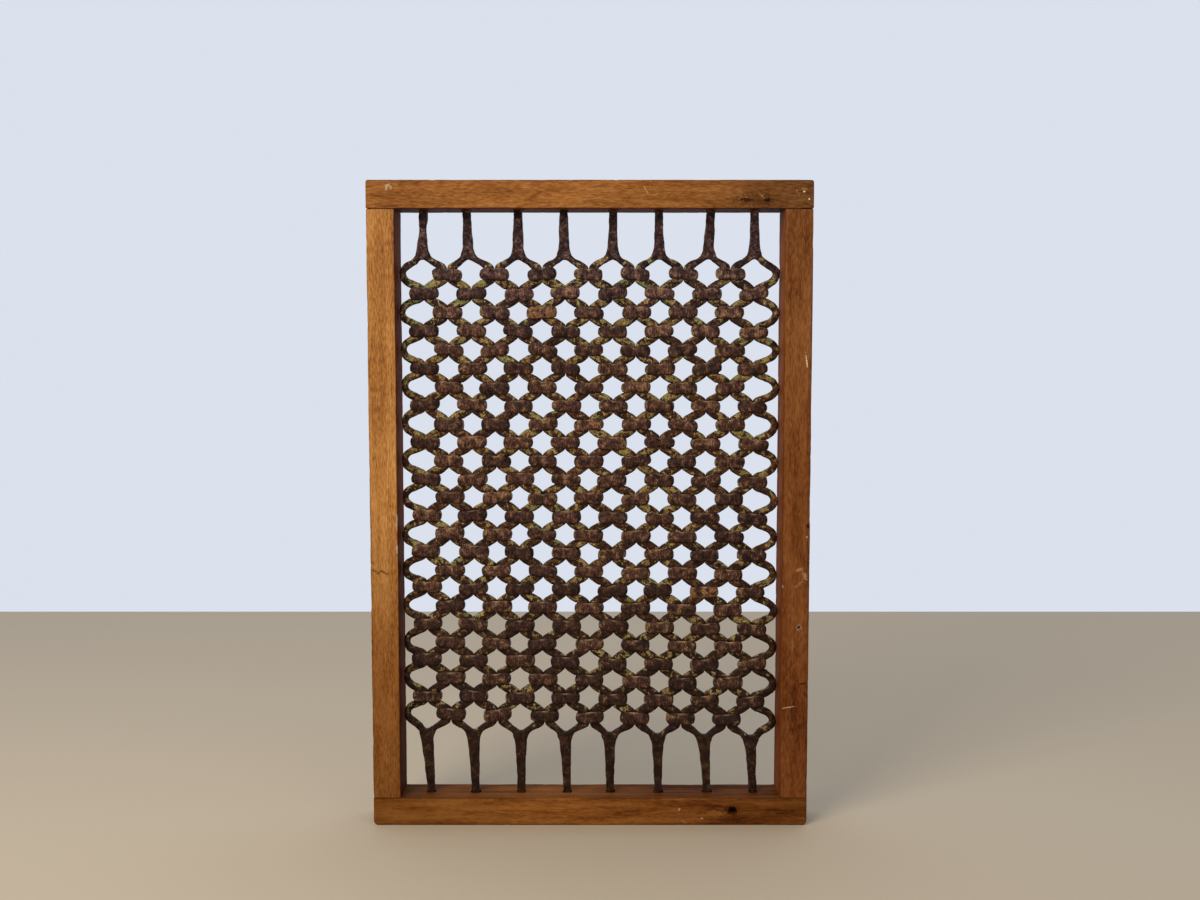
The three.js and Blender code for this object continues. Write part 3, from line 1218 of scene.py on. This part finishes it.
@dataclass(frozen=True)
class RustedStrapIron(OldIron):
    """The straps: iron strip, bent hot round the legs, with a dense purplish brown rust.

    Hands have polished it a little, so it is glossier than the legs. Paint remains at the ends, and the
    upper rim is worn lighter and carries a painted highlight, brightest at its middle.

    Attributes:
        rust: The colours of the rust from its pits to its high spots, and so on for the paint and the tan.
        patch: The size of a patch of lighter rust, in millimetres.
        stroke: The width of a hammer stroke, in millimetres; the strokes run up and down.
    """

    name: str = "wrought_iron_strip_dark_rust"
    roughness: tuple[float, float] = (0.8, 0.42)
    sheen: float = 0.24
    plum: float = 0.5
    patch: float = 8.0
    stroke: float = 1.5
    rust: Stops = (
        (0.42, "#190c0a"), (0.49, "#331d16"), (0.55, "#4c3025"), (0.61, "#714b38"), (0.69, "#ab8363"),
    )
    ochre: Stops = ((0.34, "#3e2d17"), (0.5, "#775c33"), (0.66, "#b89e6a"))
    tan: Stops = ((0.35, "#5d3921"), (0.65, "#b08152"))

    def look(self, surface: Surface) -> tuple[Any, Any, Any]:
        """Lays the rust, the paint, the upper rim worn lighter with a painted highlight, and painted shade
        on the lower rim.

        Args:
            surface: The empty surface.

        Returns:
            The colour, and the patterns of the roughness and the relief.
        """
        rim, end, top, middle, tone, rusted = (
            surface.add("Attribute", out="Fac", attribute_name=name)
            for name in ("rim", "end", "top", "middle", "tone", "rusted")
        )
        patches = surface.pattern(self.patch, 11.4, detail=2, warp=0.4)
        grit = surface.pattern(self.grit, 4.6, detail=1, blur=0.7)
        strokes = surface.pattern(self.stroke, 6.1, stretch=(1.0, 1.0, 4.0), detail=1)
        mixed = surface.total((patches, 0.46), (grit, 0.26), (strokes, 0.28), (tone, 0.08))
        colour = surface.add("ValToRGB", {0: mixed}, stops=self.rust)
        colour = self.weathered_and_shaded(surface, mixed, colour)
        ochre, tan = (surface.add("ValToRGB", {0: grit}, stops=stops) for stops in (self.ochre, self.tan))
        reach = surface.total((patches, 1.0), (grit, 0.15), (end, 0.22), (tone, 0.12))
        colour = surface.coat(colour, ochre, reach, 0.78, 0.86, 0.75)
        bright = surface.total((rusted, 1.0), (patches, 0.8), (top, -0.12))
        colour = surface.coat(colour, tan, bright, 1.26, 1.38, 0.75)
        specks = surface.pattern(self.grit, 27.0, detail=1)
        colour = surface.coat(colour, "#b89a78", specks, 0.68, 0.76, 0.5)
        # The upper rim is worn lighter, and a painted highlight lies along it, brightest at its middle.
        upper = surface.add("Math", {0: rim, 1: top}, operation="MULTIPLY")
        wear_and_highlight_share = surface.total((middle, 0.55), (tone, 0.1), (patches, 0.3))
        worn = surface.add("Math", {0: upper, 1: wear_and_highlight_share}, operation="MULTIPLY")
        colour = surface.coat(colour, "#c0a376", worn, 0.1, 0.8, 0.75)
        # Painted shade along the lower rim.
        colour = surface.coat(colour, "#0f0808", surface.total((rim, 1.0), (top, -1.0)), 0.0, 1.0, 0.8)
        return colour, grit, surface.total((grit, 0.55), (patches, 1.6), (strokes, 0.5))


@dataclass(frozen=True)
class Blemish:
    """A scratch, fleck, stain or bruise on the front of the timber, or painted shade in a hole. Millimetres.

    Its width and height are half sizes, and it is turned by its tilt, in degrees, down to the right. Its
    strength is how much of the wood's colour it hides.
    """

    x: float
    z: float
    width: float
    height: float
    tilt: float
    colour: str
    strength: float


def blemishes(*rows: tuple[Any, ...]) -> tuple[Blemish, ...]:
    """Makes a blemish of each row of values."""
    return tuple(Blemish(*row) for row in rows)


@dataclass(frozen=True)
class WaxedHardwood(Finish):
    """A hardwood such as teak, planed and waxed long ago.

    The grain shows as short fine streaks and pores, and the wax as a low sheen, dull where it is worn.

    Attributes:
        inside: What the faces towards the opening are multiplied by: painted shade, tinted warm.
        tones: Its colours from dark to light.
        tint_along: What its colour is multiplied by along its length, by place from 0 to 1.
        figure: How strong the growth bands show beside the streaks, from 0 to 0.8.
        band: The width of a growth band, in millimetres.
        streak: The width of a streak, in millimetres.
        pore: The width of a pore, in millimetres. Real ones are near 0.3 mm and would not show.
        cloud: The size of a patch of tone, in millimetres.
    """

    name: str = "hardwood_planed_waxed"
    roughness: tuple[float, float] = (0.78, 0.55)
    metallic: float = 0.0
    ior: float = 1.5
    sheen: float = 0.03
    relief: float = 0.16
    inside: str = "#a58468"
    grain: Grain = Grain.UPRIGHT
    seed: float = 1.0
    tones: tuple[str, ...] = ("#5a2f14", "#8a4f22", "#a8682f", "#c08443")
    tint_along: Stops = ((0.0, "#ffffff"), (1.0, "#ffffff"))
    blemishes: tuple[Blemish, ...] = ()
    figure: float = 0.25
    band: float = 9.0
    streak: float = 1.7
    pore: float = 1.1
    cloud: float = 45.0

    def look(self, surface: Surface) -> tuple[Any, Any, Any]:
        """Lays the wood's figure, pores, tint along its length, marks of use and painted shade on its inner
        faces.

        Args:
            surface: The empty surface.

        Returns:
            The colour, and the patterns of the roughness and the relief.
        """
        across = self.grain is Grain.ACROSS
        long = (12.0, 1.0, 1.0) if across else (1.0, 1.0, 12.0)
        short = tuple(math.sqrt(s) for s in long)
        bands = surface.pattern(self.band, self.seed, stretch=long, warp=0.5)
        fibre = tuple(s**0.65 for s in long)
        streaks = surface.pattern(self.streak, self.seed + 4, stretch=fibre, detail=4, blur=0.65)
        cloud = surface.pattern(self.cloud, self.seed + 9, stretch=short)
        pores = surface.pattern(self.pore, self.seed + 13, stretch=long, detail=1)
        mixed = surface.total((bands, self.figure), (streaks, 0.8 - self.figure), (cloud, 0.4))
        colour = surface.add("ValToRGB", {0: mixed}, stops=tuple(zip((0.46, 0.56, 0.64, 0.74), self.tones)))
        colour = surface.coat(colour, "#3a1c0c", pores, 0.42, 0.3, 0.3)
        along = surface.add("SeparateXYZ", {0: surface.place}, out=self.grain.value)
        ends = {"From Min": -0.275, "From Max": 0.275} if across else {"From Max": 0.81}
        share = surface.add("MapRange", {"Value": along, **ends})
        along_tinted = surface.add("ValToRGB", {0: share}, stops=self.tint_along)
        times = {"data_type": "RGBA", "blend_type": "MULTIPLY"}
        colour = surface.add("Mix", {0: 1.0, 6: colour, 7: along_tinted}, out=2, **times)
        wear = surface.add("Attribute", out="Fac", attribute_name="wear")
        colour = surface.coat(colour, "#3d210f", surface.total((wear, 1.0), (cloud, 1.0)), 1.4, 1.6, 0.45)
        # Painted shade on the faces towards the opening.
        inner = surface.add("Attribute", out="Fac", attribute_name="inner")
        colour = surface.add("Mix", {0: inner, 6: colour, 7: self.inside}, out=2, **times)
        ragged = surface.pattern(3.5, self.seed + 21, blur=0.65)
        for blemish in self.blemishes:
            colour = self.mar(surface, ragged, colour, blemish)
        return colour, streaks, surface.total((streaks, 1.0), (pores, 0.6))

    def mar(self, surface: Surface, ragged: Any, colour: Any, blemish: Blemish) -> Any:
        """Lays one blemish over the wood's colour, on the front only.

        Args:
            surface: The surface.
            ragged: The pattern that breaks up the blemish's outline.
            colour: The wood's colour so far.
            blemish: The blemish.

        Returns:
            The new colour's socket.
        """
        local = surface.add(
            "Mapping",
            {
                "Vector": surface.place,
                "Location": (blemish.x * MM, -28 * MM, blemish.z * MM),
                "Rotation": (0, math.radians(blemish.tilt), 0),
                "Scale": (blemish.width * MM, 6 * MM, blemish.height * MM),
            },
            vector_type="TEXTURE",
        )
        distance = surface.add("VectorMath", {0: local}, out="Value", operation="LENGTH")
        edge = surface.total((distance, 1.0), (ragged, 3.0))
        return surface.coat(colour, blemish.colour, edge, 2.6, 2.1, blemish.strength)


# The stage.


@dataclass(frozen=True)
class Stage:
    """The plain floor, the soft lights and the camera. Metres."""

    camera_place: Triple = (0.0125, -1.6667, 0.6038)
    camera_tilt: float = 4.39
    lens: float = 39.69
    sensor: float = 36.0
    floor_colour: str = "#c9bba2"
    floor_box: tuple[float, float, float, float] = (-3.2, 3.2, -3.2, 1.34)
    wall_colour: str = "#dbe1ed"
    room_colour: str = "#9d9b9f"

    def build(self) -> None:
        """Makes the stage."""
        self.camera()
        self.floor()
        self.light(
            "window_light", (-1.05, -1.45, 1.75), (-0.05, 0.0, 0.5), size=1.0, power=27.0, colour="#fff0dc"
        )
        self.light("room_light", (1.7, -2.4, 1.5), (0.0, 0.0, 0.4), size=2.0, power=7.0, colour="#fff6ea")
        self.room()
        bpy.context.scene.view_settings.view_transform = "Standard"

    def room(self) -> None:
        """Makes the light all round: pale behind the window and dimmer in front, as in a room."""
        world = bpy.data.worlds.new("soft_room")
        world.use_nodes = True
        sky = Surface(world.node_tree)
        direction = sky.add("TexCoord", out="Generated")
        behind = sky.add("SeparateXYZ", {0: direction}, out="Y")
        share = sky.add(
            "MapRange", {"Value": behind, "From Min": -0.5, "From Max": 0.6}, interpolation_type="SMOOTHSTEP"
        )
        colour = sky.add("ValToRGB", {0: share}, stops=((0.0, self.room_colour), (1.0, self.wall_colour)))
        sky.tree.links.new(colour, sky.tree.nodes["Background"].inputs["Color"])
        bpy.context.scene.world = world

    def camera(self) -> None:
        """Puts the camera at the photograph's viewing angle."""
        lens = bpy.data.cameras.new("camera")
        lens.lens = self.lens
        lens.sensor_width = self.sensor
        made = linked("camera", lens)
        made.location = self.camera_place
        made.rotation_euler = (math.radians(90 - self.camera_tilt), 0, 0)
        bpy.context.scene.camera = made

    def floor(self) -> None:
        """Makes the floor."""
        mesh = bpy.data.meshes.new("floor")
        left, right, front, back = self.floor_box
        corners = [(left, front, 0), (right, front, 0), (right, back, 0), (left, back, 0)]
        mesh.from_pydata(corners, [], [(0, 1, 2, 3)])
        material = bpy.data.materials.new("floor_matt_pale")
        material.use_nodes = True
        shader = material.node_tree.nodes["Principled BSDF"]
        shader.inputs["Base Color"].default_value = linear(self.floor_colour)
        shader.inputs["Roughness"].default_value = 0.8
        mesh.materials.append(material)
        linked("floor", mesh)

    def light(
        self, name: str, place: Sequence[float], aim: Sequence[float], size: float, power: float, colour: str
    ) -> None:
        """Makes one square soft light.

        Args:
            name: The light's name.
            place: Where it stands.
            aim: What it points at.
            size: The length of its side.
            power: Its power in watts.
            colour: Its sRGB hex colour.
        """
        lamp = bpy.data.lights.new(name, "AREA")
        lamp.size = size
        lamp.energy = power
        lamp.color = linear(colour)[:3]
        made = linked(name, lamp)
        made.location = place
        made.rotation_euler = (Vector(aim) - Vector(place)).to_track_quat("-Z", "Y").to_euler()


# Putting it together.


def dress(made: bpy.types.Object, material: bpy.types.Material, slot: str, *nodes: str) -> None:
    """Gives a piece its material and says what it stands for.

    Args:
        made: The piece.
        material: Its material.
        slot: The record's material slot; it is not used.
        *nodes: The CAD nodes that it stands for.
    """
    made.data.materials.clear()
    made.data.materials.append(material)
    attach(made, BODY)
    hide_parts(*nodes)
    log.info("%s: %d faces, stands for %s", made.name, len(made.data.polygons), ", ".join(nodes))


def timber_members(plan: GrillePlan) -> list[tuple[TimberMember, WaxedHardwood]]:
    """The frame's four members with their own wood.

    Args:
        plan: Where the tangs enter the rails.

    Returns:
        Each member with its finish.
    """
    slot = {"squareness": 3.0, "lumps": 0.1}
    top = TimberMember(
        "top_rail",
        outer=1,
        seed=2.0,
        grain=Grain.ACROSS,
        corner=3.0,
        butt=0.9,
        covered=plan.member_width,
        pits=(
            *tang_holes(plan, TOP_FORK),
            Pit((-246.0, -28.5, 801.0), (4.4, 1.0, 3.4), lumps=1.6),
            Pit((-273.5, -28.0, 774.8), (6.0, 16.0, 0.9), **slot),
            Pit((270.0, -28.0, 774.8), (9.5, 16.0, 0.9), **slot),
        ),
    )
    bottom = TimberMember(
        "bottom_rail",
        outer=-1,
        seed=12.0,
        grain=Grain.ACROSS,
        corner=6.0,
        butt=1.2,
        covered=plan.member_width,
        pits=(
            *tang_holes(plan, BOTTOM_FORK),
            Pit((180.5, -27.5, 18.5), (6.2, 20.0, 4.5), lumps=1.2),
            Pit((-262.0, -28.0, 35.2), (14.0, 12.0, 0.5), **slot),
        ),
    )
    left = TimberMember("left_stile", outer=-1, seed=22.0)
    right = TimberMember(
        "right_stile", outer=1, seed=32.0, pits=(Pit((262.0, -28.0, 254.5), (2.1, 5.0, 2.1), lumps=0.3),)
    )
    pale, dark = "#cdb89a", "#2a160c"
    woods = (
        WaxedHardwood(
            seed=3.0,
            inside="#96693a",
            tones=("#6c421f", "#955e2e", "#ab723b", "#bf8a4e"),
            tint_along=(
                (0.0, "#f4f7ff"), (0.45, "#ffffff"), (0.75, "#f0f0f0"), (0.88, "#c6c8d4"), (1.0, "#bcc2d2"),
            ),
            blemishes=blemishes(
                (-248.5, 801.5, 2.0, 4.2, 25, pale, 0.75), (-244.5, 801.5, 1.8, 4.0, -25, "#c9ab84", 0.7),
                (207.0, 786.0, 30.0, 8.0, 0, dark, 0.45), (192.0, 785.5, 9.0, 2.2, 4, dark, 0.8),
                (219.0, 785.0, 6.5, 2.4, 0, "#1c0f08", 0.9), (211.0, 790.0, 5.0, 1.0, 45, "#b98f55", 0.7),
                (263.0, 798.5, 4.2, 2.0, 0, "#a8713c", 0.7), (262.6, 795.2, 1.3, 1.3, 0, "#f0e6d6", 1.0),
                (268.4, 786.5, 1.3, 1.3, 0, "#f0e6d6", 1.0), (253.5, 796.5, 1.2, 0.9, 0, pale, 0.9),
                (256.0, 791.5, 0.9, 0.9, 0, pale, 0.8), (69.0, 797.0, 6.0, 0.7, 60, pale, 0.6),
            ),
        ),
        WaxedHardwood(
            seed=14.0,
            inside="#d2cabc",
            figure=0.45,
            tones=("#583114", "#885222", "#9e652f", "#b3773c"),
            tint_along=((0.0, "#cac6bc"), (0.4, "#ffffff"), (0.75, "#e2dcd8"), (1.0, "#c2bab8")),
            blemishes=blemishes(
                (113.0, 21.0, 1.5, 2.0, 0, pale, 0.7), (119.0, 4.5, 4.5, 0.9, 20, "#a98a72", 0.6),
                (142.0, 9.0, 1.6, 1.1, 0, pale, 0.6), (180.5, 18.5, 9.5, 7.2, 0, dark, 0.75),
                # The near black spot at 180.5, 18.5 is painted shade inside the hole there.
                (180.5, 18.5, 6.6, 4.8, 0, "#0d0604", 0.97), (160.0, 15.0, 14.0, 4.0, 3, "#a8743c", 0.4),
            ),
        ),
        WaxedHardwood(
            seed=25.0,
            inside="#92602c",
            tones=("#80502b", "#b0783f", "#c88f4f", "#daa768"),
            tint_along=((0.0, "#a99888"), (0.2, "#bfae9e"), (0.5, "#ffffff"), (1.0, "#f6f8ff")),
            blemishes=blemishes(
                (-271.3, 336.0, 3.6, 1.8, 50, "#5e3a18", 0.6),
                (-270.0, 326.5, 4.0, 1.6, 35, "#5a3615", 0.65),
                (-264.3, 324.5, 4.4, 1.8, -30, "#5a3615", 0.7),
                (-257.4, 324.0, 5.4, 2.2, 28, "#5a3615", 0.65),
                (-241.0, 389.0, 9.0, 0.7, 90, "#dccbbd", 0.8),
                (-241.2, 354.0, 7.0, 0.7, 90, "#dccbbd", 0.8),
            ),
        ),
        WaxedHardwood(
            seed=36.0,
            inside="#f8d890",
            tones=("#583118", "#7d4d28", "#8f5d34", "#a17042"),
            tint_along=((0.0, "#e6d2c0"), (0.3, "#eeddd0"), (0.6, "#f6eade"), (1.0, "#ffffff")),
            blemishes=blemishes(
                (262.0, 254.5, 4.2, 4.2, 0, "#9a8878", 0.7), (268.0, 588.0, 9.0, 1.0, 82, "#ecc4a2", 1.0),
                (251.0, 152.5, 8.5, 0.9, -9, "#c9a687", 0.9), (267.5, 182.5, 5.0, 1.2, -14, dark, 0.85),
                (255.0, 225.0, 26.0, 1.2, 86, "#8f5a30", 0.5),
                (262.0, 327.8, 6.5, 2.4, -15, "#c49a68", 0.5),
                (268.6, 320.0, 6.5, 2.4, 65, "#c9a272", 0.55),
                (262.0, 310.0, 8.0, 2.4, -40, "#b98a58", 0.4),
                (254.5, 232.0, 9.0, 2.0, 88, "#b07a48", 0.35), (272.6, 382.5, 2.6, 3.4, 0, dark, 0.85),
                (270.6, 369.0, 1.8, 1.2, 0, pale, 0.7), (241.6, 306.8, 3.2, 0.6, 90, pale, 0.7),
            ),
        ),
    )
    return [
        (member, replace(wood, name=f"{wood.name}_{member.node}", grain=member.grain))
        for member, wood in zip((top, bottom, left, right), woods)
    ]


def main() -> None:
    """Builds the window and its stage."""
    logging.basicConfig(level=logging.INFO, format="%(name)s: %(message)s")
    Stage().build()
    plan = GrillePlan()
    for member, wood in timber_members(plan):
        dress(member.build(), wood.build(), "timber", member.node)
    bar_iron = PaintedWroughtIron().build()
    strap_iron = RustedStrapIron().build()
    for bar in range(plan.bar_count):
        cad_node = f"grille_bar_{bar + 1}"
        dress(GrilleBar(plan, bar).build(), bar_iron, "iron", cad_node)
        dress(StrapSet(plan, bar).build(), strap_iron, "iron", cad_node)


if __name__ == "__main__":
    main()
